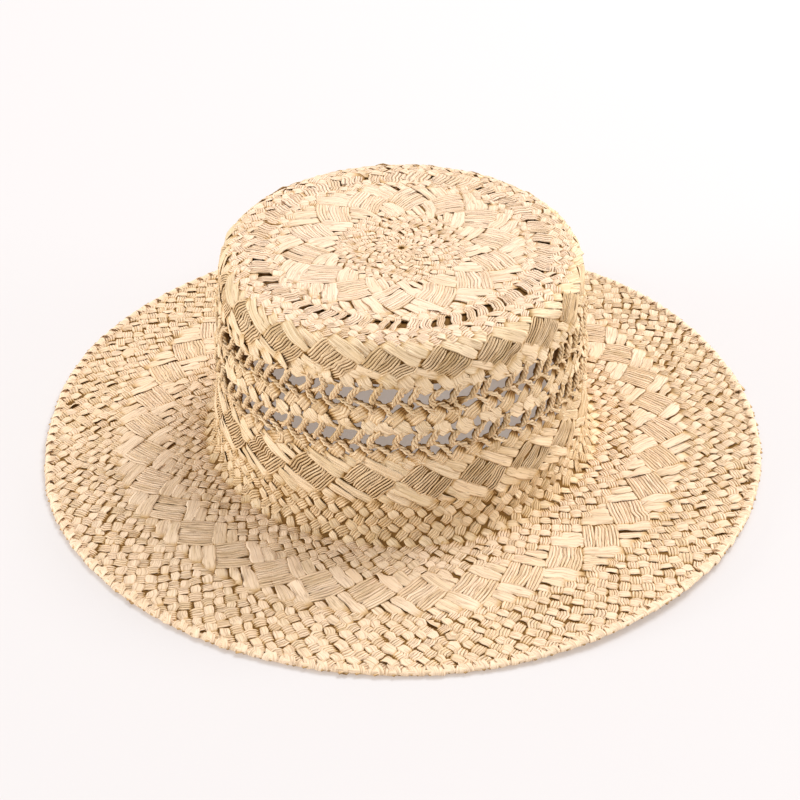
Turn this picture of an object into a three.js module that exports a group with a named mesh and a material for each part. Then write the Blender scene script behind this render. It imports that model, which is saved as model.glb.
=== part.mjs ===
// A flat-top straw hat, woven in one piece from the tip out to the edge of the brim.
// It is cut into four solids where the weave turns: tip, crown wall, brim and turned edge.
// Units are millimetres, +Z is up, the brim stands on Z = 0 and the hat's axis is the Z axis.
// The front of the hat looks towards -Y.

import * as THREE from "three";
import { mergeVertices } from "three/addons/utils/BufferGeometryUtils.js";

// Outline of the outer surface
const brimRadius = 182.5;
const hatHeight = 108;
const shoulderRadius = 88;
const baseRadius = 95.5;
const shoulderCurve = 10;
const baseCurve = 6;
const brimRise = 2;

// Wall and edge
const strawThickness = 2.2;
const edgeWidth = 5;
const edgeThickness = 3;
const edgeChamfer = 0.8;
const pieceGap = 0.3;
const tipSag = 1.2;

// Openwork rows in the crown wall
const strandPitch = 9.15;
const gapWidth = 5.8;
const gapHeight = 8;
const upperRowHeight = 79;
const lowerRowHeight = 56.5;
const rowRipple = 3;

// Hand-made unevenness of the brim
const brimLift = 2.6;
const brimPull = 2.8;

// Each row is one wave of the brim: where it is and how wide, in degrees,
// and its shares of the lift off the floor and of the pull towards the crown.
const brimWaves = [
  { at: 180, spread: 26, lift: 0.5, pull: 1.0 },
  { at: -48, spread: 36, lift: 1.0, pull: -0.4 },
  { at: 40, spread: 30, lift: 0.6, pull: 0.0 },
  { at: 112, spread: 24, lift: 0.4, pull: 0.0 },
];

// Corners of one gap in the openwork, as shares of its width and height
const gapCorners = [
  { across: -0.5, up: -0.22 },
  { across: 0, up: -0.5 },
  { across: 0.5, up: -0.22 },
  { across: 0.5, up: 0.22 },
  { across: 0, up: 0.5 },
  { across: -0.5, up: 0.22 },
];

const arcSteps = 4;
const columnsPerStrand = 2;

// Strands counted round the middle of the crown wall
const strandCount = Math.round((Math.PI * (shoulderRadius + baseRadius)) / strandPitch);
const shoulderHeight = hatHeight - shoulderCurve;
const brimTopAtEdge = (edgeThickness + strawThickness) / 2;
const baseHeight = brimTopAtEdge + brimRise;
const brimEnd = brimRadius - edgeWidth - pieceGap;
const taper = (baseRadius - shoulderRadius) / (shoulderHeight - baseHeight);

// Radius of the outer surface of the crown wall at a height
function wallRadius(height) {
  return shoulderRadius + (shoulderHeight - height) * taper;
}

// Arc that rounds the corner between two straight stretches
function roundedCorner(before, corner, after, radius) {
  const toBefore = before.clone().sub(corner).normalize();
  const toAfter = after.clone().sub(corner).normalize();
  const halfAngle = Math.acos(toBefore.dot(toAfter)) / 2;
  const bisector = toBefore.clone().add(toAfter).normalize();
  const centre = corner.clone().addScaledVector(bisector, radius / Math.sin(halfAngle));
  const reach = radius / Math.tan(halfAngle);
  const start = corner.clone().addScaledVector(toBefore, reach).sub(centre);
  const end = corner.clone().addScaledVector(toAfter, reach).sub(centre);
  const sweep = Math.atan2(start.x * end.y - start.y * end.x, start.dot(end));
  const points = [];
  for (let step = 0; step <= arcSteps; step += 1) {
    const turned = start.clone().rotateAround(new THREE.Vector2(), (sweep * step) / arcSteps);
    points.push(centre.clone().add(turned));
  }
  return points;
}

// Points of a line moved sideways, to its right as it runs
function offsetLine(line, distance) {
  return line.map((point, index) => {
    const previous = line[Math.max(index - 1, 0)];
    const next = line[Math.min(index + 1, line.length - 1)];
    const along = next.clone().sub(previous).normalize();
    return new THREE.Vector2(point.x + along.y * distance, point.y - along.x * distance);
  });
}

// Closed section of a wall: its outer line out, and its inner line back
function wallSection(outerLine) {
  return [...outerLine, ...offsetLine(outerLine, strawThickness).reverse()];
}

// Geometry from corner positions and triangles, with shared corners merged
// and the triangles dropped that the axis has closed up
function closedGeometry(positions, triangles) {
  const loose = new THREE.BufferGeometry();
  loose.setAttribute("position", new THREE.Float32BufferAttribute(positions, 3));
  loose.setIndex(triangles);
  const merged = mergeVertices(loose, 1e-4);
  const corners = merged.index.array;
  const kept = [];
  for (let first = 0; first < corners.length; first += 3) {
    const [a, b, c] = corners.slice(first, first + 3);
    if (a !== b && b !== c && c !== a) {
      kept.push(a, b, c);
    }
  }
  merged.setIndex(kept);
  merged.computeVertexNormals();
  return merged;
}

// How far the waves lift or pull the brim's edge at an angle
function waveShare(angle, column) {
  return brimWaves.reduce((sum, wave) => {
    const apart = THREE.MathUtils.euclideanModulo(angle - wave.at + 180, 360) - 180;
    const near = Math.min(Math.abs(apart) / wave.spread, 1);
    return sum + wave[column] * Math.cos((near * Math.PI) / 2) ** 2;
  }, 0);
}

// Point of a section turned to an angle. The waves grow from the crown out to the edge.
function turnedPoint(point, angle) {
  const share = Math.max((point.x - baseRadius) / (brimRadius - baseRadius), 0);
  const degrees = THREE.MathUtils.radToDeg(angle);
  const radius = point.x - brimPull * share * waveShare(degrees, "pull");
  const height = point.y + brimLift * share * share * waveShare(degrees, "lift");
  return [radius * Math.cos(angle), radius * Math.sin(angle), height];
}

// Solid of revolution of a closed section that runs clockwise in radius and height
function turned(section) {
  const positions = [];
  const triangles = [];
  for (let column = 0; column < strandCount; column += 1) {
    const angle = (2 * Math.PI * column) / strandCount;
    section.forEach((point) => positions.push(...turnedPoint(point, angle)));
  }
  const rows = section.length;
  for (let column = 0; column < strandCount; column += 1) {
    const nextColumn = (column + 1) % strandCount;
    for (let row = 0; row < rows; row += 1) {
      const nextRow = (row + 1) % rows;
      const a = column * rows + row;
      const b = nextColumn * rows + row;
      const c = nextColumn * rows + nextRow;
      const d = column * rows + nextRow;
      triangles.push(a, c, b, a, d, c);
    }
  }
  return closedGeometry(positions, triangles);
}

// Corners of the straight outline: the top's rim, the crown's foot and the brim's end
const topCorner = new THREE.Vector2(wallRadius(hatHeight), hatHeight);
const footCorner = new THREE.Vector2(baseRadius, baseHeight);
const brimCorner = new THREE.Vector2(brimEnd, brimTopAtEdge);

// Section of the flat tip, sagging a little in the middle, with its rounded shoulder
function tipSection() {
  const centre = new THREE.Vector2(0, hatHeight - tipSag);
  const shoulder = roundedCorner(new THREE.Vector2(0, hatHeight), topCorner, footCorner, shoulderCurve);
  const halfWay = new THREE.Vector2(shoulder[0].x / 2, hatHeight - tipSag / 2);
  return wallSection([centre, halfWay, ...shoulder]);
}

// Section of the brim, with the curve that turns it up to the crown wall
function brimSection() {
  const turn = roundedCorner(topCorner, footCorner, brimCorner, baseCurve);
  const middle = turn[arcSteps].clone().lerp(brimCorner, 0.5);
  return wallSection([...turn, middle, brimCorner]);
}

// Lowest height of the tip's shoulder and highest of the brim's curve, less the gap to each
function wallEnds() {
  const shoulder = tipSection().map((point) => point.y);
  const turn = brimSection().map((point) => point.y);
  return { top: Math.min(...shoulder) - pieceGap, bottom: Math.max(...turn) + pieceGap };
}

// Tapered crown wall with its two rows of gaps. Each strand has two columns of the skin.
function crownWall() {
  const ends = wallEnds();
  const positions = [];
  const triangles = [];
  const skins = [0, strawThickness];
  const cellHeight = gapHeight + strawThickness;

  // Adds a point of the outer or inner skin and returns its number
  function skinPoint(strands, height, skin) {
    const angle = (2 * Math.PI * strands) / strandCount;
    const ripple = -rowRipple * Math.cos(2 * angle);
    const reach = Math.min((ends.top - height) / cellHeight, (height - ends.bottom) / cellHeight, 1);
    const level = height + ripple * reach;
    const radius = wallRadius(level) - skins[skin];
    positions.push(radius * Math.cos(angle), radius * Math.sin(angle), level);
    return positions.length / 3 - 1;
  }

  function quad(a, b, c, d) {
    triangles.push(a, b, c, a, c, d);
  }

  // Plain stretch of one skin between two heights, in one column
  function plainColumn(left, right, low, high, skin) {
    const a = skinPoint(left, low, skin);
    const b = skinPoint(right, low, skin);
    const c = skinPoint(right, high, skin);
    const d = skinPoint(left, high, skin);
    if (skin === 0) {
      quad(a, b, c, d);
    } else {
      quad(d, c, b, a);
    }
  }

  // One strand's width of a row, on both skins, with the gap cut through
  function gapCell(strand, rowHeight) {
    const pitch = (2 * Math.PI * wallRadius(rowHeight)) / strandCount;
    const frame = [
      [0, -1],
      [0.5, -1],
      [1, -1],
      [1, 1],
      [0.5, 1],
      [0, 1],
    ];
    const rings = skins.map((_, skin) => ({
      outside: frame.map(([across, side]) =>
        skinPoint(strand + across, rowHeight + (side * cellHeight) / 2, skin),
      ),
      inside: gapCorners.map(({ across, up }) =>
        skinPoint(strand + 0.5 + (across * gapWidth) / pitch, rowHeight + up * gapHeight, skin),
      ),
    }));
    frame.forEach((_, corner) => {
      const next = (corner + 1) % frame.length;
      const [front, back] = rings;
      quad(front.outside[corner], front.outside[next], front.inside[next], front.inside[corner]);
      quad(back.outside[next], back.outside[corner], back.inside[corner], back.inside[next]);
      quad(front.inside[corner], front.inside[next], back.inside[next], back.inside[corner]);
    });
  }

  const rowHeights = [lowerRowHeight, upperRowHeight];
  const levels = [ends.bottom];
  rowHeights.forEach((height) => levels.push(height - cellHeight / 2, height + cellHeight / 2));
  levels.push(ends.top);

  for (let strand = 0; strand < strandCount; strand += 1) {
    rowHeights.forEach((height) => gapCell(strand, height));
    for (let half = 0; half < columnsPerStrand; half += 1) {
      const left = strand + half / columnsPerStrand;
      const right = strand + (half + 1) / columnsPerStrand;
      for (let level = 0; level < levels.length; level += 2) {
        plainColumn(left, right, levels[level], levels[level + 1], 0);
        plainColumn(left, right, levels[level], levels[level + 1], 1);
      }
      quad(
        skinPoint(left, ends.top, 0),
        skinPoint(right, ends.top, 0),
        skinPoint(right, ends.top, 1),
        skinPoint(left, ends.top, 1),
      );
      quad(
        skinPoint(left, ends.bottom, 1),
        skinPoint(right, ends.bottom, 1),
        skinPoint(right, ends.bottom, 0),
        skinPoint(left, ends.bottom, 0),
      );
    }
  }
  return closedGeometry(positions, triangles);
}

// Turned edge: a flat-footed ring with its corners taken off
function turnedEdge() {
  const outside = brimRadius;
  const inside = brimRadius - edgeWidth;
  const section = [
    new THREE.Vector2(inside, edgeChamfer),
    new THREE.Vector2(inside, edgeThickness - edgeChamfer),
    new THREE.Vector2(inside + edgeChamfer, edgeThickness),
    new THREE.Vector2(outside - edgeChamfer, edgeThickness),
    new THREE.Vector2(outside, edgeThickness - edgeChamfer),
    new THREE.Vector2(outside, edgeChamfer),
    new THREE.Vector2(outside - edgeChamfer, 0),
    new THREE.Vector2(inside + edgeChamfer, 0),
  ];
  return turned(section);
}

function strawMesh(name, geometry, colour) {
  const material = new THREE.MeshStandardMaterial({ color: colour, roughness: 0.8, metalness: 0 });
  const mesh = new THREE.Mesh(geometry, material);
  mesh.name = name;
  return mesh;
}

const hat = new THREE.Group();
hat.add(
  strawMesh("crown_tip", turned(tipSection()), 0xe0cba6),
  strawMesh("crown_wall", crownWall(), 0xd6be95),
  strawMesh("brim", turned(brimSection()), 0xdec8a3),
  strawMesh("brim_edge", turnedEdge(), 0xd2b88e),
);

export default hat;
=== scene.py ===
import math
from collections import namedtuple
from typing import NamedTuple

import bpy
import numpy as np
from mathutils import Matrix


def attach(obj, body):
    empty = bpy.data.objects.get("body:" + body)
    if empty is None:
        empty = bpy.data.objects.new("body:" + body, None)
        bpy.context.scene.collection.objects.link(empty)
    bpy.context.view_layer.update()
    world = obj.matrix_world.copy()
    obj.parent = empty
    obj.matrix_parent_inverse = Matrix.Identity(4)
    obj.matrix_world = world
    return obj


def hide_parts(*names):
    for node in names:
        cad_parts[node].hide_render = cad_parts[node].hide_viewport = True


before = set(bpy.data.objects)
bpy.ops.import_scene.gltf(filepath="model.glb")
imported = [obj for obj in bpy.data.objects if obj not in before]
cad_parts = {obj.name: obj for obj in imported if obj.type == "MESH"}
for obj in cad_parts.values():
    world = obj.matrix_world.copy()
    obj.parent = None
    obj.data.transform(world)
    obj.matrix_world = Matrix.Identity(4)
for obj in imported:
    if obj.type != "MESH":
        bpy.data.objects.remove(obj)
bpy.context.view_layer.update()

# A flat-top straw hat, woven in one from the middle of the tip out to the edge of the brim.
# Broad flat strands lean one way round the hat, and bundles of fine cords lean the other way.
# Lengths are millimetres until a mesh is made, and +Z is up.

MM = 0.001
TURN = 2 * math.pi

# Outline of the outer surface, as in the part
BRIM_RADIUS = 182.5
HAT_HEIGHT = 108.0
SHOULDER_RADIUS = 88.0
BASE_RADIUS = 95.5
SHOULDER_CURVE = 10.0
BASE_CURVE = 6.0
BRIM_RISE = 2.0
STRAW_THICKNESS = 2.2
EDGE_THICKNESS = 3.0
TIP_SAG = 1.2
ROW_RIPPLE = 3.0
GAP_HEIGHT = 8.0

# Strands are added outwards in groups, so that the weave keeps its scale
STRAND_GROUP = 21
WALL_STRANDS = 3 * STRAND_GROUP
OUTER_STRANDS = 7 * STRAND_GROUP

# Hand-made unevenness of the brim, as in the part
BRIM_LIFT = 2.6
BRIM_PULL = 2.8
Wave = namedtuple("Wave", "at spread lift pull")
BRIM_WAVES = [
    Wave(180, 26, 0.5, 1.0),
    Wave(-48, 36, 1.0, -0.4),
    Wave(40, 30, 0.6, 0.0),
    Wave(112, 24, 0.4, 0.0),
]

SHOULDER_HEIGHT = HAT_HEIGHT - SHOULDER_CURVE
BRIM_TOP = (EDGE_THICKNESS + STRAW_THICKNESS) / 2
BASE_HEIGHT = BRIM_TOP + BRIM_RISE
FOOT_TOP = BASE_HEIGHT + BASE_CURVE
TAPER = (BASE_RADIUS - SHOULDER_RADIUS) / (SHOULDER_HEIGHT - BASE_HEIGHT)


# Outline and surface

ARC_STEPS = 24
OUTLINE_PLACES = 4000
SLOPE_REACH = 12

# The outline is the crown's wall between these two radii, and the brim past the second
WALL_FROM = 80.0
WALL_TO = 96.0


def rounded_corner(before, corner, after, radius):
    """Points of the arc that rounds the corner between two straight stretches."""
    to_before = (before - corner) / np.linalg.norm(before - corner)
    to_after = (after - corner) / np.linalg.norm(after - corner)
    half_angle = math.acos(float(to_before @ to_after)) / 2
    bisector = (to_before + to_after) / np.linalg.norm(to_before + to_after)
    centre = corner + bisector * radius / math.sin(half_angle)
    start = corner + to_before * radius / math.tan(half_angle) - centre
    end = corner + to_after * radius / math.tan(half_angle) - centre
    sweep = math.atan2(start[0] * end[1] - start[1] * end[0], float(start @ end))
    points = []
    for step in range(ARC_STEPS + 1):
        angle = sweep * step / ARC_STEPS
        cos, sin = math.cos(angle), math.sin(angle)
        points.append(centre + [start[0] * cos - start[1] * sin, start[0] * sin + start[1] * cos])
    return points


def hat_outline():
    """Radius and height of the outer surface, from the middle of the tip to the brim's edge."""
    top = np.array([0.0, HAT_HEIGHT])
    rim = np.array([SHOULDER_RADIUS - SHOULDER_CURVE * TAPER, HAT_HEIGHT])
    foot = np.array([BASE_RADIUS, BASE_HEIGHT])
    edge = np.array([BRIM_RADIUS, BRIM_TOP])
    shoulder = rounded_corner(top, rim, foot, SHOULDER_CURVE)
    turn = rounded_corner(rim, foot, edge, BASE_CURVE)
    middle = top - [0, TIP_SAG]
    return np.array([middle, *shoulder, *turn, edge])


def running_mean(values, reach):
    """Mean over the neighbours on both sides."""
    padded = np.pad(values, reach, mode="edge")
    return np.convolve(padded, np.ones(2 * reach + 1) / (2 * reach + 1), mode="valid")


def outline_slope(along, outline):
    """Direction of the outline at its places, so that a strand turns softly over the shoulder."""
    slope = np.gradient(outline, along, axis=0)
    slope = np.stack([running_mean(slope[:, axis], SLOPE_REACH) for axis in (0, 1)], -1)
    return slope / np.linalg.norm(slope, axis=1)[:, None]


CORNERS = hat_outline()
CORNERS_ALONG = np.concatenate([[0], np.cumsum(np.linalg.norm(np.diff(CORNERS, axis=0), axis=1))])
ALONG = np.linspace(0, CORNERS_ALONG[-1], OUTLINE_PLACES)
OUTLINE = np.stack([np.interp(ALONG, CORNERS_ALONG, CORNERS[:, axis]) for axis in (0, 1)], -1)
SLOPE = outline_slope(ALONG, OUTLINE)


def along_wall(height):
    """Length along the outline at a height of the crown wall."""
    wall = (OUTLINE[:, 0] > WALL_FROM) & (OUTLINE[:, 0] < WALL_TO)
    heights, lengths = OUTLINE[wall, 1][::-1], ALONG[wall][::-1]
    return float(np.interp(height, heights, lengths))


def along_brim(radius):
    """Length along the outline at a radius of the brim."""
    brim = OUTLINE[:, 0] > WALL_TO
    return float(np.interp(radius, OUTLINE[brim, 0], ALONG[brim]))


def wave_share(angle, column):
    """How far the waves lift or pull the brim at an angle."""
    total = np.zeros_like(angle)
    for wave in BRIM_WAVES:
        apart = (np.degrees(angle) - wave.at + 180) % 360 - 180
        near = np.minimum(np.abs(apart) / wave.spread, 1)
        total += getattr(wave, column) * np.cos(near * math.pi / 2) ** 2
    return total


def waved(points):
    """Points of the brim, lifted and pulled by its waves."""
    x, y, z = np.moveaxis(points, -1, 0)
    radius, angle = np.hypot(x, y), np.arctan2(y, x)
    share = np.maximum((radius - BASE_RADIUS) / (BRIM_RADIUS - BASE_RADIUS), 0)
    reach = radius - BRIM_PULL * share * wave_share(angle, "pull")
    height = z + BRIM_LIFT * share**2 * wave_share(angle, "lift")
    return np.stack([reach * np.cos(angle), reach * np.sin(angle), height], -1)


def rippled(along, angle):
    """Lengths along the outline, where the rows of the wall rise and fall twice round the hat."""
    height = np.interp(along, ALONG, OUTLINE[:, 1])
    cell = GAP_HEIGHT + STRAW_THICKNESS
    share = np.clip(np.minimum((SHOULDER_HEIGHT - height) / cell, (height - FOOT_TOP) / cell), 0, 1)
    return along + ROW_RIPPLE * np.cos(2 * angle) * share


def surface_point(along, angle, lift):
    """Points at a lift from the middle of the straw's thickness, and the way outwards there."""
    along = rippled(along, angle)
    out = -np.interp(along, ALONG, SLOPE[:, 1])
    up = np.interp(along, ALONG, SLOPE[:, 0])
    depth = lift - STRAW_THICKNESS / 2
    radius = np.interp(along, ALONG, OUTLINE[:, 0]) + out * depth
    height = np.interp(along, ALONG, OUTLINE[:, 1]) + up * depth
    points = np.stack([radius * np.cos(angle), radius * np.sin(angle), height], -1)
    normals = np.stack([out * np.cos(angle), out * np.sin(angle), up], -1)
    return waved(points), normals


# Forms of a strand

# The share of its room that a strand fills, how its splits spread, half their thickness,
# how far they twist round each other, the radius of that twist, how much paler the straw is,
# and whether the strand keeps its width for longer
Form = namedtuple("Form", "cover spread plump twist roll pale hold")
FORMS = {
    "flat": Form(1.10, 1.40, 0.22, 0.0, 0.0, 0.0, 0),
    "sheet": Form(1.14, 1.40, 0.22, 0.0, 0.0, 0.0, 0),
    "cords": Form(1.12, 1.14, 0.34, 0.0, 0.0, 0.0, 0),
    "tight": Form(1.16, 1.34, 0.30, 0.0, 0.0, 0.0, 0),
    "loose": Form(1.06, 0.84, 0.42, 0.0, 0.0, 0.0, 0),
    "open": Form(1.04, 0.76, 0.44, 0.0, 0.0, 0.0, 0),
    "pillow": Form(0.90, 1.50, 0.26, 0.0, 0.0, 0.4, 1),
    "flare": Form(0.62, 1.30, 0.30, 0.0, 0.0, 0.2, 0),
    "twist": Form(0.45, 1.00, 0.54, 1.0, 0.88, -0.2, 0),
    "leg": Form(0.55, 1.00, 0.80, 1.0, 1.04, 0.3, 0),
    "core": Form(0.55, 1.00, 0.60, 1.0, 0.70, 0.0, 0),
    "neck": Form(0.66, 1.10, 0.40, 0.0, 0.0, 0.0, 0),
}


# Rows

# One row of crossings: where it is, which strand is on top, how each lies there,
# and how far each side of the row both run straight down
Row = namedtuple("Row", "along over broad fine dwell")

# Rows of the sawtooth band in which a broad strand passes over, for three strands side by side
FLOATS_ON_TOP = [(0, 1, 2, 6), (0, 1, 5, 6), (0, 4, 5, 6)]


def plain_rows(places, first_over, cords="cords"):
    """Rows of plain weave: the broad and the fine strands take turns on top."""
    turns = ["broad", "fine"]
    start = turns.index(first_over)
    return [Row(at, turns[(start + n) % 2], "flat", cords, 0.0) for n, at in enumerate(places)]


def float_rows(places, cords="cords", ribbon="flat"):
    """Rows of the sawtooth band, where strands pass over up to three others."""
    return [Row(at, "float %d" % n, ribbon, cords, 0.0) for n, at in enumerate(places)]


def even(first, step, count):
    """Evenly spaced places."""
    return [first + step * n for n in range(count)]


def wall_heights(heights):
    """Places of rows at heights of the crown wall."""
    return [along_wall(height) for height in heights]


def brim_radii(radii):
    """Places of rows at radii of the brim."""
    return [along_brim(radius) for radius in radii]


TIP_START = plain_rows(even(3.5, 2.6, 8), "broad", "tight")
TIP_FLOATS = plain_rows([24.4, 27.2, 30.0], "fine", "tight") + float_rows(even(32.9, 4.2, 7), "tight")
TIP_OPENWORK = [
    Row(60.4, "fine", "flat", "tight", 0.0),
    Row(62.8, "broad", "flat", "tight", 0.0),
    Row(68.6, "fine", "neck", "neck", 3.6),
    Row(74.4, "broad", "flat", "cords", 0.0),
    Row(77.0, "fine", "flat", "cords", 0.0),
    Row(79.6, "broad", "flat", "cords", 0.0),
    Row(82.0, "fine", "flat", "cords", 0.0),
]
SHOULDER_FLOATS = float_rows([84.7, 87.9, 91.2] + wall_heights([96.0, 93.0, 90.0]), "loose", "sheet")
WALL_OPENWORK = [
    Row(along_wall(85.0), "broad", "pillow", "flare", 0.0),
    Row(along_wall(79.0), "fine", "core", "leg", 2.4),
    Row(along_wall(73.2), "broad", "twist", "flare", 0.0),
    Row(along_wall(67.9), "fine", "twist", "pillow", 0.0),
    Row(along_wall(62.4), "broad", "pillow", "flare", 0.0),
    Row(along_wall(56.5), "fine", "core", "leg", 2.4),
    Row(along_wall(50.8), "broad", "twist", "flare", 0.0),
    Row(along_wall(46.2), "fine", "twist", "pillow", 0.0),
]
LOWER_FLOATS = float_rows(wall_heights(even(42.4, -3.3, 7)), "open", "sheet")
FOOT_ROWS = plain_rows(even(along_wall(19.1), 3.2, 6), "fine")
BRIM_START = plain_rows(brim_radii(even(102.6, 3.5, 5)), "fine")
BRIM_FLOATS = float_rows(brim_radii(even(120.0, 3.9, 7)))
BRIM_END = plain_rows(brim_radii(even(147.2, 3.85, 9)), "fine")


# Zones

class Zone(NamedTuple):
    """A ring of the hat whose strands all start and end together."""

    name: str
    count: int
    rows: list
    # How many strands round the first crossings of the fine strands are
    phase: int = 0
    # Pieces that each strand is split into, and places between two rows at which they bend
    broad_splits: int = 1
    fine_splits: int = 4
    broad_steps: int = 4
    fine_steps: int = 3
    # Share of a strand's room by which the band leans with each row, and the row it leans from
    slant: float = 0.0
    slant_from: int = 0
    # How far strands narrow where they dive, and how far their crossings are out of place
    pinch: float = 1.0
    looseness: float = 1.0


FLOAT_SLANT = 1 / 7
ZONES = [
    Zone("tip", STRAND_GROUP, TIP_START, fine_splits=3, broad_steps=3, pinch=0.6),
    Zone("tip", 2 * STRAND_GROUP, TIP_FLOATS, pinch=0.6),
    Zone("tip", WALL_STRANDS, TIP_OPENWORK, phase=14, pinch=0.6),
    Zone(
        "shoulder", WALL_STRANDS, SHOULDER_FLOATS,
        phase=7, fine_splits=5, slant=FLOAT_SLANT, slant_from=6,
    ),
    Zone(
        "openwork", WALL_STRANDS, WALL_OPENWORK,
        phase=1, broad_splits=3, fine_steps=4, pinch=0.0, looseness=1.4,
    ),
    Zone(
        "lower_wall", WALL_STRANDS, LOWER_FLOATS,
        phase=-7, fine_splits=5, slant=FLOAT_SLANT, slant_from=-1,
    ),
    Zone("foot", 4 * STRAND_GROUP, FOOT_ROWS),
    Zone("brim_inner", 5 * STRAND_GROUP, BRIM_START + BRIM_FLOATS),
    Zone("brim_outer", OUTER_STRANDS, BRIM_END, broad_steps=3),
]


# Crossings

# Chance shifts of a crossing along and across, and the slow waves of whole rows
ALONG_SCATTER = 0.56
ACROSS_SCATTER = 0.12
FLOAT_LOOSENESS = 0.40
SLOW_WAVES = (2, 3, 5, 7)
SLOW_SCATTER = 0.25
SLOW_DRIFT = 0.25


def is_float(row):
    """Whether a row belongs to a sawtooth band."""
    return row.over.startswith("float")


def broad_on_top(zone):
    """For each row and broad strand, whether it passes over there."""
    table = []
    for row in zone.rows:
        if is_float(row):
            place = int(row.over.split()[1])
            table.append([place in FLOATS_ON_TOP[strand % 3] for strand in range(zone.count)])
        else:
            table.append([row.over == "broad"] * zone.count)
    return np.array(table)


def crossing_numbers(zone, family):
    """For each row, the crossing that every strand of the family comes to."""
    strand = np.arange(zone.count)
    steps_back = 0 if family == "broad" else 1
    phase = 0 if family == "broad" else zone.phase
    return np.stack([(strand - row * steps_back + phase) % zone.count for row in range(len(zone.rows))])


def crossing_shifts(zone, seed):
    """Small shifts of every crossing, the same for the two strands that meet there."""
    draw = np.random.default_rng(seed)
    size = (len(zone.rows), zone.count)
    slow = np.zeros(size)
    angle = np.arange(zone.count) * TURN / zone.count
    drift = SLOW_DRIFT * np.arange(size[0])[:, None]
    for wave in SLOW_WAVES:
        slow += draw.normal(0, SLOW_SCATTER) * np.cos(wave * angle + draw.uniform(0, TURN) + drift)
    loose = np.array([FLOAT_LOOSENESS if is_float(row) else 1.0 for row in zone.rows])[:, None]
    loose = loose * zone.looseness
    shift_along = draw.normal(0, ALONG_SCATTER, size) * loose + slow
    shift_across = draw.normal(0, ACROSS_SCATTER, size) * loose
    return shift_along, shift_across


def run_lengths(over):
    """How many crossings in a row each strand stays on top for."""
    runs = over.astype(int)
    for line in range(1, len(over)):
        runs[line] += runs[line - 1] * over[line]
    for line in range(len(over) - 2, -1, -1):
        runs[line] = np.where(over[line] & over[line + 1], runs[line + 1], runs[line])
    return runs


# What a strand does at each row

# The way a family leans, the corners of its section, how its width differs from crossing to
# crossing and from strand to strand, its least and most, its tilt, and how far it narrows
Family = namedtuple("Family", "lean corners here strand least most tilt pinch")
FAMILIES = {
    "broad": Family(1, 6, 0.10, 0.09, 0.70, 1.20, 0.17, 0.22),
    "fine": Family(-1, 4, 0.05, 0.07, 0.80, 1.15, 0.07, 0.20),
}

# Width and paleness of a broad strand that lies under, or over one, two or three others
RUN_WIDTH = np.array([0.90, 0.96, 1.02, 1.16])
RUN_PALENESS = np.array([0.0, 0.0, -0.06, 0.16])

# Width of the strands that close the slits of the tip: least, most, and what the back adds
NECK_LEAST = 0.7
NECK_MOST = 1.5
NECK_BACK = 0.8

# How high strands pass over and deep under, with chance shifts, and how they are tucked in
STRAND_LIFT = 0.50
LIFT_SCATTER = 0.07
STRAND_SHIFT = 0.03
SHADE_SCATTER = 0.2
TUCK = 0.8
TUCK_DEPTH = -0.15
TUCK_WIDTH = 0.85


def with_tucks(values, first, last):
    """The values at the rows, with one more where a strand is tucked under at each end."""
    shape = (1, *values.shape[1:])
    return np.concatenate([np.broadcast_to(first, shape), values, np.broadcast_to(last, shape)])


def room_of_strands(zone, family):
    """Width that a strand has at each row, square to its own way."""
    along = np.array([row.along for row in zone.rows])
    pitch = TURN * np.interp(along, ALONG, OUTLINE[:, 0]) / zone.count
    room_up = np.gradient(along)
    return pitch * room_up / np.hypot(room_up, pitch * (0.5 + FAMILIES[family].lean * zone.slant))


def strand_widths(zone, family, over, draw):
    """Share of its usual width, and paleness, that each strand has at each row."""
    kind = FAMILIES[family]
    swell = draw.normal(1, kind.here, over.shape) * draw.normal(1, kind.strand, zone.count)
    swell = np.clip(swell, kind.least, kind.most)
    paler = np.zeros(over.shape)
    if family == "broad":
        run = np.minimum(run_lengths(over), len(RUN_WIDTH) - 1)
        swell = swell * RUN_WIDTH[run]
        paler = RUN_PALENESS[run]
    # The slits of the tip are widest at the front and close up towards the back
    necks = np.array([getattr(row, family) == "neck" for row in zone.rows])[:, None]
    angle = TURN * (np.arange(zone.count) - kind.lean * zone.phase / 2) / zone.count
    facing = (0.5 - 0.5 * np.sin(angle)) ** 2
    closing = draw.uniform(NECK_LEAST, NECK_MOST, over.shape) + NECK_BACK * (1 - facing)
    return np.where(necks, swell * closing, swell), paler


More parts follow.
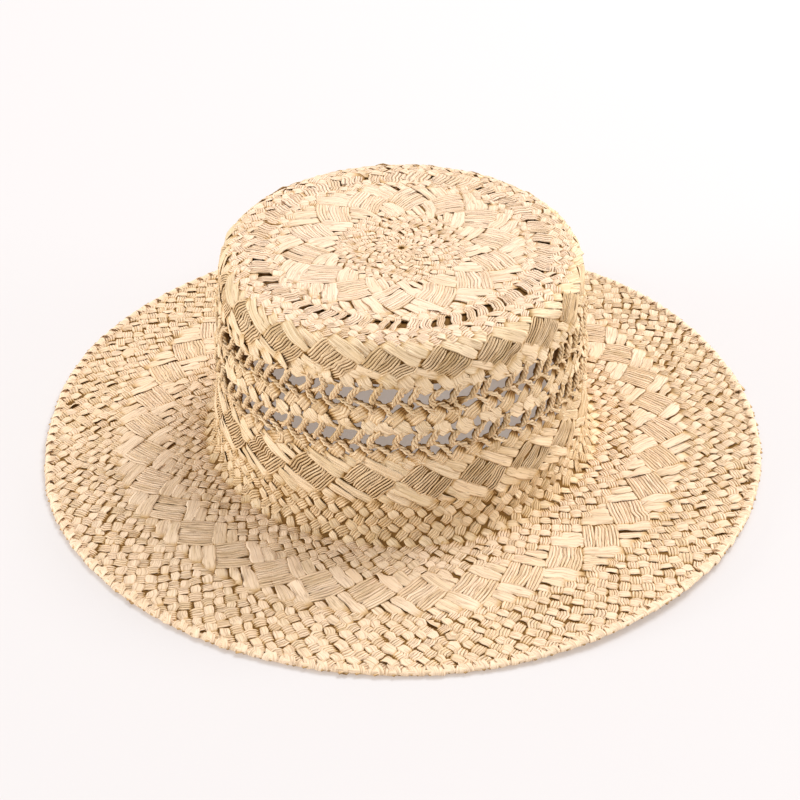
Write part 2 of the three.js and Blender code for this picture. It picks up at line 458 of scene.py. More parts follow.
def strand_knots(zone, family, seed, draw):
    """What each strand of a family does at each row and at its two tucked ends."""
    rows = len(zone.rows)
    crossing = crossing_numbers(zone, family)
    over = np.take_along_axis(broad_on_top(zone), crossing, axis=1) == (family == "broad")
    shift_along, shift_across = (
        np.take_along_axis(shift, crossing, axis=1) for shift in crossing_shifts(zone, seed)
    )
    lift = np.where(over, STRAND_LIFT, -STRAND_LIFT) + draw.normal(0, LIFT_SCATTER, over.shape)
    shift_across = shift_across + draw.normal(0, STRAND_SHIFT, over.shape)
    swell, paler = strand_widths(zone, family, over, draw)
    tilt = draw.normal(0, FAMILIES[family].tilt, over.shape)
    shade = draw.normal(0, SHADE_SCATTER, over.shape) - paler

    forms = [FORMS[getattr(row, family)] for row in zone.rows]
    knots = {}
    for field in Form._fields:
        values = np.array([getattr(form, field) for form in forms])
        knots[field] = with_tucks(values, values[0], values[-1])
    knots["hold"][[0, -1]] = 0
    width = room_of_strands(zone, family) * knots["cover"][1:-1]
    along = np.array([row.along for row in zone.rows])
    start = along[0] - TUCK * (along[1] - along[0])
    end = along[-1] + TUCK * (along[-1] - along[-2])
    # A strand narrows where it dives under, and leaves small hollows at the corners
    dives = np.zeros((rows + 1, zone.count))
    dives[1:-1] = (over[1:] != over[:-1]) * zone.pinch
    knots.update(
        along=with_tucks(along, start, end),
        turns=with_tucks(np.arange(rows, dtype=float), -TUCK, rows - 1 + TUCK),
        dwell=with_tucks(np.array([row.dwell for row in zone.rows]), 0, 0),
        width=with_tucks(width, width[0] * TUCK_WIDTH, width[-1] * TUCK_WIDTH),
        lift=with_tucks(lift, TUCK_DEPTH, TUCK_DEPTH),
        shift_along=with_tucks(shift_along, 0, 0),
        shift_across=with_tucks(shift_across, 0, 0),
        swell=with_tucks(swell, swell[0], swell[-1]),
        tilt=with_tucks(tilt, 0, 0),
        shade=with_tucks(shade, 0, 0),
        dives=dives,
    )
    return knots


# Path of a strand from row to row

# Shares of the way between two rows at which a strand bends, for three and for four places
STOP_SHARES = {3: np.array([0.0, 0.36, 0.64]), 4: np.array([0.0, 0.33, 0.5, 0.67])}
END_STOPS = 2
LEG_STOPS = 2
LEG_EASE = 0.6
STEEPNESS = 2.4
LEG_LEAN = 0.13
LEAN_REACH = GAP_HEIGHT / 1.6
LEANING_DWELL = 2.0
KEPT_WIDTH = 0.12


def smoothstep(share):
    """Share that starts and ends softly."""
    return share * share * (3 - 2 * share)


def steeper(share):
    """Share that changes quickly about halfway between two rows."""
    return smoothstep(np.clip((share - 0.5) * STEEPNESS + 0.5, 0, 1))


def strand_stops(knots, steps):
    """Places along a strand: the knot before, the share of the way on, and of the crossing over."""
    along, dwell = knots["along"], knots["dwell"]
    last = len(along) - 2
    knot, share, moved = [], [], []
    for low in range(last + 1):
        gap = along[low + 1] - along[low]
        leave, arrive = dwell[low] / gap, 1 - dwell[low + 1] / gap
        beside_legs = dwell[low] + dwell[low + 1] > 0
        stops = steps + LEG_STOPS if beside_legs else steps
        if low in (0, last):
            stops = END_STOPS
        parts = STOP_SHARES.get(stops, np.arange(stops) / stops)
        run = np.clip((parts - leave) / (arrive - leave), 0, 1)
        if beside_legs:
            run = smoothstep(run) * LEG_EASE + run * (1 - LEG_EASE)
        knot.extend([low] * stops)
        share.extend(parts)
        moved.extend(run)
    return np.array([*knot, last]), np.array([*share, 1.0]), np.array([*moved, 1.0])


def between(values, knot, share):
    """Values on the way from each knot to the next."""
    low, high = values[knot], values[knot + 1]
    if values.ndim > 1:
        share = share[:, None]
    return low + (high - low) * share


def strand_path(zone, family, knots, knot, share, moved):
    """Length along the outline and angle round the hat of every strand at its places."""
    lean = FAMILIES[family].lean
    along = between(knots["along"], knot, share)[:, None] + between(knots["shift_along"], knot, moved)
    turn = between(knots["turns"], knot, moved)[:, None]
    place = np.arange(zone.count)[None] + lean * (turn - zone.phase) / 2
    place = place + between(knots["shift_across"], knot, moved)
    place = place + zone.slant * (turn - zone.slant_from)
    for row in zone.rows:
        if row.dwell > LEANING_DWELL:
            beside = np.clip((along - row.along) / LEAN_REACH, -1, 1)
            place = place - LEG_LEAN * np.sin(math.pi * beside)
    return along, TURN * place / zone.count


def directions(middle, outwards):
    """Unit vectors across a strand and up from it, at each place of its middle line."""
    forward = np.gradient(middle, axis=0)
    forward /= np.linalg.norm(forward, axis=-1)[..., None]
    across = np.cross(forward, outwards)
    across /= np.linalg.norm(across, axis=-1)[..., None]
    return across, np.cross(across, forward)


def lengths_along(middle):
    """Length of each strand up to each of its places."""
    steps = np.linalg.norm(np.diff(middle, axis=0), axis=-1)
    return np.concatenate([np.zeros((1, middle.shape[1])), np.cumsum(steps, axis=0)])


# Section, colour and chart of a strand

LOWEST = 0.02
FLAT_CORNERS = 6
FLAT_PART = 0.74
CHART_UNIT = 10
CHART_SPREAD = 40


def strand_section(corners):
    """Across and upward shares of the corners of a strand's section."""
    if corners == FLAT_CORNERS:
        across = [1.0, FLAT_PART, -FLAT_PART, -1.0, -FLAT_PART, FLAT_PART]
        return np.array(across), np.array([0.0, 1.0, 1.0, 0.0, -1.0, -1.0])
    angle = TURN * np.arange(corners) / corners
    return np.cos(angle), np.sin(angle)


def section_corners(middle, across, upwards, half_width, half_thickness, section):
    """Corners of the section at each place of each strand."""
    aside, above = section
    return (
        middle[:, :, None]
        + across[:, :, None] * (half_width[..., None] * aside)[..., None]
        + upwards[:, :, None] * (half_thickness[..., None] * above)[..., None]
    )


def above_floor(corners):
    """The corners, none of them lower than the hat may reach."""
    corners[..., 2] = np.maximum(corners[..., 2], LOWEST)
    return corners


def straw_colours(shape, tone, warmth, height):
    """Tone, warmth and height over the hollows at each corner, as the channels of a colour."""
    channels = (tone, warmth, np.clip(height, 0, 1), 1.0)
    return np.stack([np.broadcast_to(channel, shape) for channel in channels], -1)


def strand_chart(aside, length, seedling):
    """Place of each corner on its strand in centimetres, each strand on a place of its own."""
    along = np.broadcast_to(length[..., None], aside.shape)
    return np.stack([aside, along], -1) / CHART_UNIT + seedling[:, None, None]


# Strands

# How a split wavers and twists along its strand, and how its width and tone differ
SPLIT_WAVER = 0.06
WAVER_LEAST = 0.5
WAVER_MOST = 0.9
TWIST_RATE = 0.75
SPLIT_LEAST = 0.88
SPLIT_MOST = 1.12
SPLIT_TONE = 0.24

# Depth of the hollows below the middle of the weave, and from there up to the top of a strand, which scale
# the height that sets the painted shade in the hollows
HOLLOW_DEPTH = 1.0
HOLLOW_TO_TOP = 1.9


def split_seats(split, splits, room, lie, length, start_turn, draw):
    """How far aside and above its strand each split lies, and half its width."""
    if splits == 1:
        return np.zeros_like(room), np.zeros_like(room), room / 2
    rate = draw.uniform(WAVER_LEAST, WAVER_MOST)
    waver = SPLIT_WAVER * np.sin(length * rate + draw.uniform(0, TURN, room.shape[1]))
    around = start_turn + TURN * split / splits + length * TWIST_RATE
    twist, roll = lie["twist"], lie["roll"]
    seat = (split - (splits - 1) / 2) * room / splits + waver
    aside = seat * (1 - twist) + roll * np.cos(around) * twist
    above = roll * np.sin(around) * twist
    half_width = room / (2 * splits) * lie["spread"] * (1 - twist) + lie["plump"] * twist
    return aside, above, half_width


def strands(zone, family, seed):
    """Corners, colours and charts of all strands of one family in a zone."""
    kind = FAMILIES[family]
    splits = zone.broad_splits if family == "broad" else zone.fine_splits
    steps = zone.broad_steps if family == "broad" else zone.fine_steps
    draw = np.random.default_rng(seed + (1 if family == "broad" else 2))
    knots = strand_knots(zone, family, seed, draw)
    knot, share, moved = strand_stops(knots, steps)
    eased = steeper(moved)

    along, angle = strand_path(zone, family, knots, knot, share, moved)
    lift = between(knots["lift"], knot, eased)
    middle, outwards = surface_point(along, angle, lift)
    flat_across, flat_upwards = directions(middle, outwards)
    tilt = between(knots["tilt"], knot, moved)[..., None]
    across = flat_across * np.cos(tilt) + flat_upwards * np.sin(tilt)
    upwards = flat_upwards * np.cos(tilt) - flat_across * np.sin(tilt)
    length = lengths_along(middle)

    kept = KEPT_WIDTH * (knots["hold"][knot] - knots["hold"][knot + 1])
    widened = steeper(moved - kept)
    room = between(knots["width"], knot, widened)[:, None] * between(knots["swell"], knot, widened)
    room = room * (1 - kind.pinch * knots["dives"][knot] * np.sin(math.pi * moved)[:, None] ** 2)
    lie = {
        field: between(knots[field], knot, eased)[:, None]
        for field in ("spread", "plump", "twist", "roll", "pale")
    }
    shade = between(knots["shade"], knot, moved) - lie["pale"]

    section = strand_section(kind.corners)
    strand_tone = draw.uniform(0, 1, zone.count)
    warmth = draw.uniform(0, 1, zone.count)
    start_turn = draw.uniform(0, TURN, zone.count)
    seedling = draw.uniform(0, CHART_SPREAD, zone.count)
    places, tones, charts = [], [], []
    for split in range(splits):
        aside, above, half_width = split_seats(split, splits, room, lie, length, start_turn, draw)
        half_width = half_width * draw.uniform(SPLIT_LEAST, SPLIT_MOST, zone.count)
        half_thickness = lie["plump"] * np.ones_like(half_width)
        seat = middle + across * aside[..., None] + upwards * above[..., None]
        corners = section_corners(seat, across, upwards, half_width, half_thickness, section)
        places.append(above_floor(corners))
        top = lift[..., None] + above[..., None] + half_thickness[..., None] * section[1]
        # How high over the hollows each corner lies, which sets the painted shade of a strand's lower parts
        height = (top + HOLLOW_DEPTH) / HOLLOW_TO_TOP
        own_tone = draw.normal(0, SPLIT_TONE, zone.count) * (splits > 1)
        tone = np.clip(strand_tone + own_tone + shade, 0, 1)
        tones.append(straw_colours(top.shape, tone[..., None], warmth[None, :, None], height))
        charts.append(strand_chart(aside[..., None] + half_width[..., None] * section[0], length, seedling))
    return np.stack(places, 2), np.stack(tones, 2), np.stack(charts, 2)


# Meshes

def add_piece(name, mesh, material, node):
    """Puts a mesh in the scene, rides it on the hat and lets it stand for a node."""
    piece = bpy.data.objects.new(name, mesh)
    bpy.context.scene.collection.objects.link(piece)
    mesh.materials.append(material)
    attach(piece, "root")
    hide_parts(node)


def tube_faces(rings, tubes, sides, first):
    """Corner numbers of the sides and the two ends of tubes laid out as ring, tube, side."""
    counts = (np.arange(rings - 1), np.arange(tubes), np.arange(sides))
    ring, tube, side = np.meshgrid(*counts, indexing="ij")
    next_side = (side + 1) % sides

    def number(r, t, s):
        return first + (r * tubes + t) * sides + s

    quads = np.stack(
        [
            number(ring, tube, side),
            number(ring + 1, tube, side),
            number(ring + 1, tube, next_side),
            number(ring, tube, next_side),
        ],
        -1,
    ).reshape(-1, 4)
    tube, side = np.meshgrid(np.arange(tubes), np.arange(sides), indexing="ij")
    near = number(0, tube, side)
    far = number(rings - 1, tube, sides - 1 - side)
    return quads, near, far


def keep_folds_sharp(mesh):
    """Marks the long folds between the faces and the slopes of flat strands as sharp edges."""
    ends = np.empty(len(mesh.edges) * 2, np.int32)
    mesh.edges.foreach_get("vertices", ends)
    corner = ends.reshape(-1, 2) % FLAT_CORNERS
    fold = (corner[:, 0] == corner[:, 1]) & (corner[:, 0] % 3 != 0)
    sharp = mesh.attributes.new("sharp_edge", "BOOLEAN", "EDGE")
    sharp.data.foreach_set("value", fold)


def woven_piece(name, bundles, material, node):
    """Joins the tubes of the bundles into one mesh, with their colours and charts."""
    corners, starts, places, tones, charts = [], [], [], [], []
    first = 0
    loops = 0
    for place, tone, chart in bundles:
        rings, sides = place.shape[0], place.shape[-2]
        tubes = int(np.prod(place.shape[1:-2]))
        for faces in tube_faces(rings, tubes, sides, first):
            corners.append(faces.ravel())
            starts.append(loops + np.arange(len(faces)) * faces.shape[1])
            loops += faces.size
        places.append(place.reshape(-1, 3))
        tones.append(tone.reshape(-1, 4))
        charts.append(chart.reshape(-1, 2))
        first += rings * tubes * sides
    corners, starts = np.concatenate(corners), np.concatenate(starts)
    places, tones, charts = np.concatenate(places), np.concatenate(tones), np.concatenate(charts)

    mesh = bpy.data.meshes.new(name)
    mesh.vertices.add(len(places))
    mesh.vertices.foreach_set("co", (places * MM).ravel())
    mesh.loops.add(len(corners))
    mesh.loops.foreach_set("vertex_index", corners.astype(np.int32))
    mesh.polygons.add(len(starts))
    mesh.polygons.foreach_set("loop_start", starts.astype(np.int32))
    mesh.update(calc_edges=True)
    mesh.validate()
    mesh.shade_smooth()
    if all(place.shape[-2] == FLAT_CORNERS for place, tone, chart in bundles):
        keep_folds_sharp(mesh)
    straw = mesh.attributes.new("straw", "FLOAT_COLOR", "POINT")
    straw.data.foreach_set("color", tones.astype(np.float32).ravel())
    strand_map = mesh.uv_layers.new(name="strand")
    strand_map.data.foreach_set("uv", charts[corners].astype(np.float32).ravel())
    add_piece(name, mesh, material, node)


# Backs of the strands, coloured dark as painted shade

BACKING_SIDES = 2 * WALL_STRANDS
BACKING_THICKNESS = 0.16
BACKING_STEP = 8
BEND_STEP = 3


def backing(name, first, last, depth, material, node):
    """A thin layer inside the straw, painted dark brown as shade, where the backs of the strands show in
    the hollows.
    """
    bends = CORNERS_ALONG[(CORNERS_ALONG > first) & (CORNERS_ALONG < last)][::BEND_STEP]
    even_places = np.linspace(first, last, 2 + int((last - first) / BACKING_STEP))
    row = np.unique(np.concatenate([even_places, bends]))
    count = len(row)
    along = np.concatenate([row, row[::-1]])
    lift = np.repeat([BACKING_THICKNESS / 2, -BACKING_THICKNESS / 2], count) - depth
    angle = TURN * np.arange(BACKING_SIDES) / BACKING_SIDES
    points, outwards = surface_point(*np.broadcast_arrays(along[:, None], angle[None], lift[:, None]))
    line, side = np.meshgrid(np.arange(2 * count), np.arange(BACKING_SIDES), indexing="ij")
    next_line, next_side = (line + 1) % (2 * count), (side + 1) % BACKING_SIDES
    faces = np.stack(
        [
            line * BACKING_SIDES + side,
            next_line * BACKING_SIDES + side,
            next_line * BACKING_SIDES + next_side,
            line * BACKING_SIDES + next_side,
        ],
        -1,
    ).reshape(-1, 4)
    mesh = bpy.data.meshes.new(name)
    mesh.from_pydata((points.reshape(-1, 3) * MM).tolist(), [], faces.tolist())
    mesh.shade_smooth()
    add_piece(name, mesh, material, node)


# Turned edge

EDGE_LOOPS = 2 * OUTER_STRANDS
EDGE_SEED = 900
LOOP_THICKNESS = 0.24
FILLING_RADIUS = BRIM_RADIUS - 1.55
FILLING_THICKNESS = 2.2
FILLING_SIDES = 8
FILLING_SEGMENTS = 256
FILLING_COLOUR = (0.5, 0.3, 0.9, 1.0)

# Ring inside the edge that the loops face away from
CORE_RADIUS = BRIM_RADIUS - 3.3
CORE_HEIGHT = 1.6

# How high over the hollows a loop counts for its colour, which sets its painted shade: on the floor, and
# for each millimetre up
LOOP_GROUND = 0.6
LOOP_RISE = 0.25

# Round the edge from above to below: how far in from the brim's edge and how high a loop is,
# its share of the loop's lean, and its width
EdgeStop = namedtuple("EdgeStop", "inset height forward width")
EDGE_PATH = [
    EdgeStop(5.1, 1.8, -0.72, 3.2),
    EdgeStop(3.9, 2.3, -0.46, 4.0),
    EdgeStop(2.6, 2.55, -0.20, 4.4),
    EdgeStop(1.5, 2.5, -0.06, 4.4),
    EdgeStop(0.7, 2.05, -0.01, 4.4),
    EdgeStop(0.35, 1.3, 0.02, 4.4),
    EdgeStop(1.0, 0.55, 0.08, 4.4),
    EdgeStop(2.6, 0.3, 0.30, 4.4),
    EdgeStop(4.3, 0.5, 0.85, 4.4),
    EdgeStop(5.6, 1.0, 1.05, 4.0),
]

# Every other loop leans back, is narrower and lies a little lower
LoopKind = namedtuple("LoopKind", "lean width drop")
FORWARD_LOOP = LoopKind(1.2, 1.1, 0.0)
BACKWARD_LOOP = LoopKind(-0.6, 0.8, 0.06)
RADIUS_SCATTER = 0.2
LEAN_LEAST = 0.6
LEAN_MOST = 1.3
LEAD_SCATTER = 0.16
LOOP_LEAST = 0.85
LOOP_MOST = 1.1


def edge_column(column):
    """One column of the edge's path, upright, so that it meets a row of loops."""
    return np.array([getattr(stop, column) for stop in EDGE_PATH])[:, None]


def edge_loops():
    """Strand ends that wrap round the edge, each leaning over the next."""
    draw = np.random.default_rng(EDGE_SEED)
    loop = np.arange(EDGE_LOOPS)

    def by_kind(column):
        """What each loop has in this column."""
        return np.where(loop % 2 == 1, getattr(BACKWARD_LOOP, column), getattr(FORWARD_LOOP, column))

    radius = BRIM_RADIUS - edge_column("inset") + draw.normal(0, RADIUS_SCATTER, EDGE_LOOPS)
    height = edge_column("height") * np.ones(EDGE_LOOPS)
    lean = by_kind("lean") * draw.uniform(LEAN_LEAST, LEAN_MOST, EDGE_LOOPS)
    lead = edge_column("forward") * lean + draw.normal(0, LEAD_SCATTER, EDGE_LOOPS)
    slim = by_kind("width") * draw.uniform(LOOP_LEAST, LOOP_MOST, EDGE_LOOPS)
    half_width = edge_column("width") * slim / 2
    angle = TURN * (loop + lead) / EDGE_LOOPS
    middle = np.stack([radius * np.cos(angle), radius * np.sin(angle), height], -1)
    core_height = np.full_like(angle, CORE_HEIGHT)
    core = np.stack([CORE_RADIUS * np.cos(angle), CORE_RADIUS * np.sin(angle), core_height], -1)
    across, upwards = directions(middle, middle - core)
    middle[..., 2] -= by_kind("drop")

    section = strand_section(FLAT_CORNERS)
    half_thickness = np.full_like(half_width, LOOP_THICKNESS)
    corners = section_corners(middle, across, upwards, half_width, half_thickness, section)
    corners = above_floor(waved(corners))
    tone = draw.uniform(0, 1, EDGE_LOOPS)
    warmth = draw.uniform(0, 1, EDGE_LOOPS)
    top = LOOP_GROUND + height * LOOP_RISE
    shape = corners.shape[:3]
    tones = straw_colours(shape, tone[None, :, None], warmth[None, :, None], top[..., None])
    seedling = draw.uniform(0, CHART_SPREAD, EDGE_LOOPS)
    chart = strand_chart(half_width[..., None] * section[0], lengths_along(middle), seedling)
    return corners[:, :, None], tones[:, :, None], chart[:, :, None]


def edge_filling(material):
    """The strand that the loops are wound round: one ring right round the hat."""
    bpy.ops.object.select_all(action="DESELECT")
    bpy.ops.mesh.primitive_torus_add(
        major_segments=FILLING_SEGMENTS,
        minor_segments=FILLING_SIDES,
        major_radius=FILLING_RADIUS * MM,
        minor_radius=FILLING_THICKNESS / 2 * MM,
    )
    ring = bpy.context.object
    ring.name = "edge_filling"
    mesh = ring.data
    points = np.empty(len(mesh.vertices) * 3)
    mesh.vertices.foreach_get("co", points)
    points = points.reshape(-1, 3) / MM + [0, 0, EDGE_THICKNESS / 2]
    mesh.vertices.foreach_set("co", (waved(points) * MM).ravel())
    mesh.update()
    mesh.shade_smooth()
    straw = mesh.attributes.new("straw", "FLOAT_COLOR", "POINT")
    straw.data.foreach_set("color", np.tile(FILLING_COLOUR, len(mesh.vertices)).astype(np.float32))
    strand_map = mesh.uv_layers[0]
    strand_map.name = "strand"
    chart = np.empty(len(mesh.loops) * 2, np.float32)
    strand_map.data.foreach_get("uv", chart)
    lengths = np.array([FILLING_THICKNESS * math.pi, TURN * FILLING_RADIUS]) / CHART_UNIT
    strand_map.data.foreach_set("uv", (chart.reshape(-1, 2)[:, ::-1] * lengths).astype(np.float32).ravel())
    mesh.materials.append(material)
    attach(ring, "root")
    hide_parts("brim_edge")


# Shader maths

class Value:
    """A shader socket that adds Math nodes when it is calculated with."""

    def __init__(self, shader, socket):
        self.shader = shader
        self.socket = socket

    def __add__(self, other):
        return self.shader.math("ADD", self, other)

    def __radd__(self, other):
        return self.shader.math("ADD", other, self)

    def __sub__(self, other):
        return self.shader.math("SUBTRACT", self, other)

    def __rsub__(self, other):
        return self.shader.math("SUBTRACT", other, self)

    def __mul__(self, other):
        return self.shader.math("MULTIPLY", self, other)

    def __rmul__(self, other):
        return self.shader.math("MULTIPLY", other, self)


class Shader:
    """Node tree of one material."""

    def __init__(self, name):
        self.material = bpy.data.materials.new(name)
        self.material.use_nodes = True
        self.tree = self.material.node_tree
        self.surface = self.tree.nodes["Principled BSDF"]

    def node(self, kind, settings=None, **sockets):
        """Adds a node, sets its settings, and fills or links its sockets."""
        node = self.tree.nodes.new(kind)
        for key, value in (settings or {}).items():
            setattr(node, key, value)
        for key, value in sockets.items():
            self.fill(node.inputs[key.replace("_", " ")], value)
        return node

    def fill(self, socket, value):
        """Links a socket to a value, or sets it to a number or a colour."""
        if isinstance(value, Value):
            self.tree.links.new(value.socket, socket)
        else:
            socket.default_value = value

    def finish(self, **sockets):
        """Fills or links the sockets of the surface."""
        for key, value in sockets.items():
            self.fill(self.surface.inputs[key.replace("_", " ")], value)
        return self.material

    def out(self, node, name):
        """What a node gives out, to calculate with."""
        return Value(self, node.outputs[name])

    def math(self, operation, *values):
        """Adds one Math node."""
        node = self.node("ShaderNodeMath", {"operation": operation})
        for socket, value in zip(node.inputs, values):
            self.fill(socket, value)
        return Value(self, node.outputs[0])

    def mix(self, factor, first, second):
        """A colour between two others."""
        node = self.node("ShaderNodeMix", {"data_type": "RGBA"})
        colours = [colour if isinstance(colour, Value) else (*colour, 1) for colour in (first, second)]
        for number, value in zip((0, 6, 7), (factor, *colours)):
            self.fill(node.inputs[number], value)
        return Value(self, node.outputs[2])

    def ramp(self, value, low, high, most=1.0, kind="LINEAR"):
        """From 0 to most as the value goes from low to high."""
        node = self.node(
            "ShaderNodeMapRange", {"interpolation_type": kind},
            Value=value, From_Min=low, From_Max=high, To_Max=most,
        )
        return self.out(node, "Result")

    def object_place(self):
        """Place on the object, in metres."""
        return self.out(self.node("ShaderNodeTexCoord"), "Object")

    def noise(self, place, scale, detail):
        """Cloudy values about one half."""
        return self.out(self.node("ShaderNodeTexNoise", Vector=place, Scale=scale, Detail=detail), "Fac")

    def streaks(self, strand, kind, grain=1.0):
        """Noise drawn out along a strand."""
        place = self.node("ShaderNodeMapping", Vector=strand, Scale=(kind.across * grain, kind.along, 1.0))
        return self.noise(self.out(place, "Vector"), 1.0, kind.detail)


# Straw

BROAD_GRAIN = 14.0
FINE_GRAIN = 20.0

# Scales of streaks across and along a strand, and their detail
Streaks = namedtuple("Streaks", "across along detail")
LINES = Streaks(1.0, 0.5, 3.0)
CRACKS = Streaks(0.55, 0.35, 1.0)
FLECKS = Streaks(6.0, 1.6, 2.0)

LINE_CONTRAST = 3.4
BLOTCH_SCALE = 45.0
MOTTLE_DETAIL = 2.0
BLOTCH_CONTRAST = 0.8
TONE_CONTRAST = 0.60
BASE_TONE = 0.15
ROSY_TINT = (1.0, 0.90, 0.84)
ROSY_SHARE = 0.25
# Tint of the deep straw for the tan painted shade in the shallower hollows
SHADE_TAN_TINT = (0.80, 0.66, 0.42)
FLECK_FROM = 0.62
FLECK_FULL = 0.74
FLECK_SHARE = 0.35
CRACK_EDGE = 0.035
CRACK_CORE = 0.004
CRACK_SHARE = 0.40
CRACK_DEPTH = 0.5
RELIEF = 0.75
EDGE_RELIEF = 0.1
RELIEF_METRES = 0.0003
ROUGHNESS_LEAST = 0.45
ROUGHNESS_SPREAD = 0.3
STRAW_SHINE = 0.22
MATT_SHINE = 0.1
# Brown of the flecks and cracks, and of the painted shade deepest in the hollows
FLECK_AND_SHADE_BROWN = (0.24, 0.108, 0.022)

# Heights at which the painted shade of a hollow begins and is full, and how full it gets
ShadeRamp = namedtuple("ShadeRamp", "begins full share")
TAN_PAINTED_SHADE = ShadeRamp(0.86, 0.60, 0.85)
BROWN_PAINTED_SHADE = ShadeRamp(0.68, 0.30, 0.97)


def tinted(colour, tint):
    """A colour times a tint."""
    return tuple(channel * share for channel, share in zip(colour, tint))


def straw_material(name, pale, deep, grain, relief=RELIEF):
    """Dried straw: long fine grain, blotches, brown flecks, and painted shade, tan to brown, in the hollows
    of the weave.
    """
    shader = Shader(name)
    attribute = shader.node("ShaderNodeAttribute", {"attribute_name": "straw"})
    parts = shader.node("ShaderNodeSeparateColor", Color=shader.out(attribute, "Color"))
    tone, warmth, height = (shader.out(parts, key) for key in ("Red", "Green", "Blue"))
    strand = shader.out(shader.node("ShaderNodeUVMap", {"uv_map": "strand"}), "UV")
    line = shader.streaks(strand, LINES, grain)
    fleck = shader.streaks(strand, FLECKS)
    off_crack = shader.math("ABSOLUTE", shader.streaks(strand, CRACKS, grain) - 0.5)
    crack = shader.ramp(off_crack, CRACK_EDGE, CRACK_CORE)
    blotch = shader.noise(shader.object_place(), BLOTCH_SCALE, MOTTLE_DETAIL)

    pick = tone * TONE_CONTRAST + (line - 0.5) * LINE_CONTRAST
    pick = pick + (blotch - 0.5) * BLOTCH_CONTRAST + BASE_TONE
    pick = shader.math("MINIMUM", shader.math("MAXIMUM", pick, 0.0), 1.0)
    colour = shader.mix(pick, pale, deep)
    colour = shader.mix(warmth * ROSY_SHARE, colour, tinted(pale, ROSY_TINT))
    colour = shader.mix(shader.ramp(fleck, FLECK_FROM, FLECK_FULL) * FLECK_SHARE, colour, FLECK_AND_SHADE_BROWN)
    colour = shader.mix(crack * CRACK_SHARE, colour, FLECK_AND_SHADE_BROWN)
    # Painted shade: tan, then brown, the lower a strand lies in the hollows of the weave
    for hollow, shade_colour in ((TAN_PAINTED_SHADE, tinted(deep, SHADE_TAN_TINT)), (BROWN_PAINTED_SHADE, FLECK_AND_SHADE_BROWN)):
        factor = shader.ramp(height, hollow.begins, hollow.full, hollow.share, "SMOOTHSTEP")
        colour = shader.mix(factor, colour, shade_colour)
    bump = shader.node(
        "ShaderNodeBump", Strength=relief, Distance=RELIEF_METRES, Height=line - crack * CRACK_DEPTH
    )
    return shader.finish(
        Base_Color=colour,
        Roughness=line * ROUGHNESS_SPREAD + ROUGHNESS_LEAST,
        Normal=shader.out(bump, "Normal"),
        Specular_IOR_Level=STRAW_SHINE,
    )


BACK_SCALE = 500.0
# Dark browns of the painted shade in the hollows
BACK_DARK = (0.11, 0.05, 0.012)
BACK_LIGHT = (0.24, 0.12, 0.03)


def back_material():
    """Painted shade of the straw in the hollows: brown, mottled."""
    shader = Shader("painted_shade_backs")
    mottle = shader.noise(shader.object_place(), BACK_SCALE, MOTTLE_DETAIL)
    shade = shader.mix(mottle, BACK_DARK, BACK_LIGHT)
    return shader.finish(Base_Color=shade, Roughness=0.8, Specular_IOR_Level=MATT_SHINE)


PAINTED_SHADE_BACK = back_material()
TIP_BROAD = straw_material("broad_straw", (0.88, 0.68, 0.51), (0.77, 0.58, 0.39), BROAD_GRAIN)
TIP_FINE = straw_material("split_straw", (0.90, 0.70, 0.53), (0.76, 0.56, 0.36), FINE_GRAIN)
BRIM_BROAD = straw_material("brim_broad_straw", (0.86, 0.665, 0.48), (0.745, 0.56, 0.36), BROAD_GRAIN)
BRIM_FINE = straw_material("brim_split_straw", (0.88, 0.68, 0.49), (0.73, 0.535, 0.32), FINE_GRAIN)
# Straw of the crown's wall, darker and more saturated than the tip's and brim's: painted shade
SHADED_WALL_BROAD = straw_material("shaded_wall_broad_straw", (0.87, 0.68, 0.46), (0.71, 0.53, 0.31), BROAD_GRAIN)
SHADED_WALL_FINE = straw_material("shaded_wall_split_straw", (0.86, 0.65, 0.415), (0.62, 0.425, 0.21), FINE_GRAIN)
STRAW_EDGE = straw_material("edge_straw", (0.88, 0.69, 0.50), (0.76, 0.57, 0.37), BROAD_GRAIN, EDGE_RELIEF)


# Pieces

FIRST_SEED = 100
SEED_STEP = 10


def weave(name, zone_names, broad_straw, fine_straw, node):
    """The broad and the fine strands of some zones, as two pieces."""
    for family, straw in (("broad", broad_straw), ("fine", fine_straw)):
        bundles = []
        for number, zone in enumerate(ZONES):
            if zone.name in zone_names:
                bundles.append(strands(zone, family, FIRST_SEED + SEED_STEP * number))
        woven_piece("%s_%s_strands" % (name, family), bundles, straw, node)


weave("tip", ("tip",), TIP_BROAD, TIP_FINE, "crown_tip")
weave("shoulder", ("shoulder",), SHADED_WALL_BROAD, SHADED_WALL_FINE, "crown_wall")
weave("openwork", ("openwork",), SHADED_WALL_BROAD, SHADED_WALL_FINE, "crown_wall")
weave("lower_wall", ("lower_wall", "foot"), SHADED_WALL_BROAD, SHADED_WALL_FINE, "crown_wall")
weave("brim_inner", ("brim_inner",), BRIM_BROAD, BRIM_FINE, "brim")
weave("brim_outer", ("brim_outer",), BRIM_BROAD, BRIM_FINE, "brim")

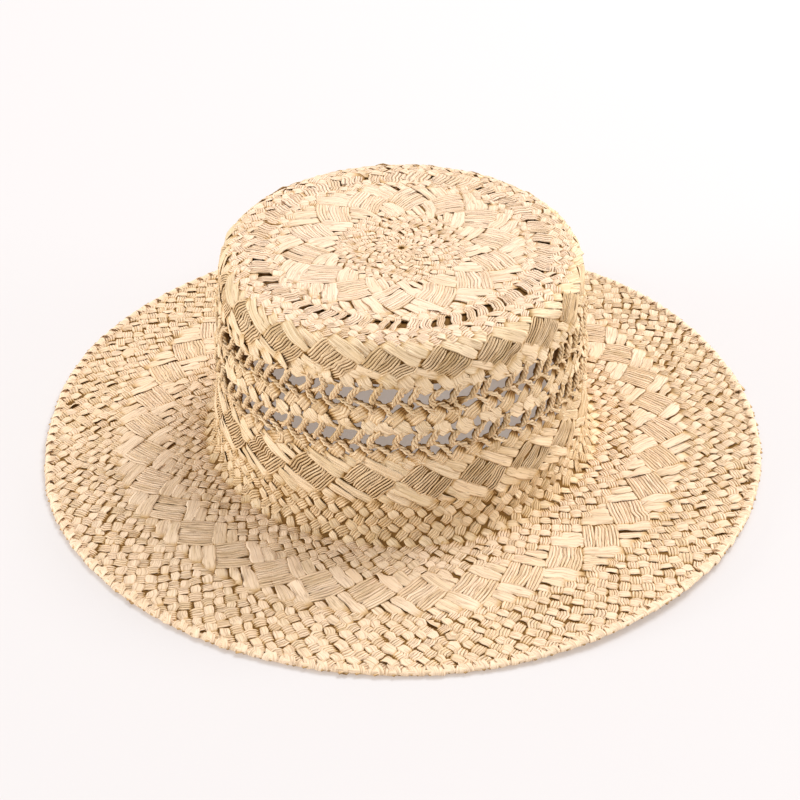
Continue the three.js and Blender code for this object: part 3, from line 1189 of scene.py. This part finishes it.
# Where each layer of backs begins and ends along the outline, and how deep inside it lies
TIP_END = 84.0
WALL_END = along_brim(97)
Backs = namedtuple("Backs", "name first last depth slot node")
BACKS = [
    Backs("tip_backs", 0.6, 63.6, 0.0, "straw_crown", "crown_tip"),
    Backs("tip_slit_backs", 63.0, 74.2, 0.95, "straw_crown", "crown_tip"),
    Backs("tip_rim_backs", 73.8, TIP_END, 0.0, "straw_crown", "crown_tip"),
    Backs("shoulder_backs", TIP_END, along_wall(84.6), 0.0, "straw_crown", "crown_wall"),
    Backs("lower_wall_backs", along_wall(43.4), WALL_END, 0.0, "straw_crown", "crown_wall"),
    Backs("brim_backs", WALL_END, along_brim(179), 0.0, "straw_brim", "brim"),
]
for backs in BACKS:
    backing(backs.name, backs.first, backs.last, backs.depth, PAINTED_SHADE_BACK, backs.node)

woven_piece("edge_loops", [edge_loops()], STRAW_EDGE, "brim_edge")
edge_filling(STRAW_EDGE)


# Floor

# Sizes in metres
FLOOR_SIZE = 8.0
FLOOR_DROP = 0.0003
FLOOR_SCALE = 2.0
FLOOR_DARK = (0.402, 0.416, 0.444)
FLOOR_LIGHT = (0.410, 0.424, 0.452)
FLOOR_GLOW = (1.0, 0.83, 0.71, 1)
FLOOR_GLOW_STRENGTH = 0.36


def floor_material():
    """Pale matt floor that glows a little, so that it stays even and bright."""
    shader = Shader("pale_floor")
    mottle = shader.noise(shader.object_place(), FLOOR_SCALE, MOTTLE_DETAIL)
    return shader.finish(
        Base_Color=shader.mix(mottle, FLOOR_DARK, FLOOR_LIGHT),
        Roughness=0.9,
        Specular_IOR_Level=MATT_SHINE,
        Emission_Color=FLOOR_GLOW,
        Emission_Strength=FLOOR_GLOW_STRENGTH,
    )


bpy.ops.object.select_all(action="DESELECT")
bpy.ops.mesh.primitive_plane_add(size=FLOOR_SIZE, location=(0, 0, -FLOOR_DROP))
floor = bpy.context.object
floor.name = "floor"
floor.data.materials.append(floor_material())


# Light, in metres

HAT_MIDDLE = (0, 0, 0.03)
SKY_COLOUR = (1.0, 0.985, 0.97, 1)
SKY_STRENGTH = 0.81

world = bpy.data.worlds.new("studio")
world.use_nodes = True
background = world.node_tree.nodes["Background"].inputs
background["Color"].default_value = SKY_COLOUR
background["Strength"].default_value = SKY_STRENGTH
bpy.context.scene.world = world


def soft_light(name, power, size, location):
    """A round softbox that faces the hat."""
    data = bpy.data.lights.new(name, "AREA")
    data.shape = "DISK"
    data.size = size
    data.energy = power
    light = bpy.data.objects.new(name, data)
    light.location = location
    aim = np.array(HAT_MIDDLE) - np.array(location)
    yaw = math.atan2(aim[1], aim[0]) - math.pi / 2
    pitch = math.acos(-aim[2] / np.linalg.norm(aim))
    light.rotation_euler = (pitch, 0, yaw)
    bpy.context.scene.collection.objects.link(light)


soft_light("overhead_softbox", power=80.0, size=1.7, location=(1.3, 1.25, 2.55))
soft_light("left_softbox", power=32.0, size=0.9, location=(-2.0, -0.5, 0.24))
soft_light("right_softbox", power=16.0, size=0.9, location=(2.0, -0.4, 0.24))


# Camera, in metres

ELEVATION = math.radians(35.8)
DISTANCE = 0.9
FOCAL_PIXELS = 1769.0
PICTURE_WIDTH = 800.0
SENSOR = 36.0
TARGET = (-0.0006, 0.0, 0.016)
camera_data = bpy.data.cameras.new("camera")
camera_data.sensor_width = SENSOR
camera_data.lens = FOCAL_PIXELS / PICTURE_WIDTH * SENSOR
camera = bpy.data.objects.new("camera", camera_data)
camera.location = (
    TARGET[0],
    TARGET[1] - DISTANCE * math.cos(ELEVATION),
    TARGET[2] + DISTANCE * math.sin(ELEVATION),
)
camera.rotation_euler = (math.pi / 2 - ELEVATION, 0, 0)
bpy.context.scene.collection.objects.link(camera)
bpy.context.scene.camera = camera
bpy.context.scene.view_settings.view_transform = "Standard"
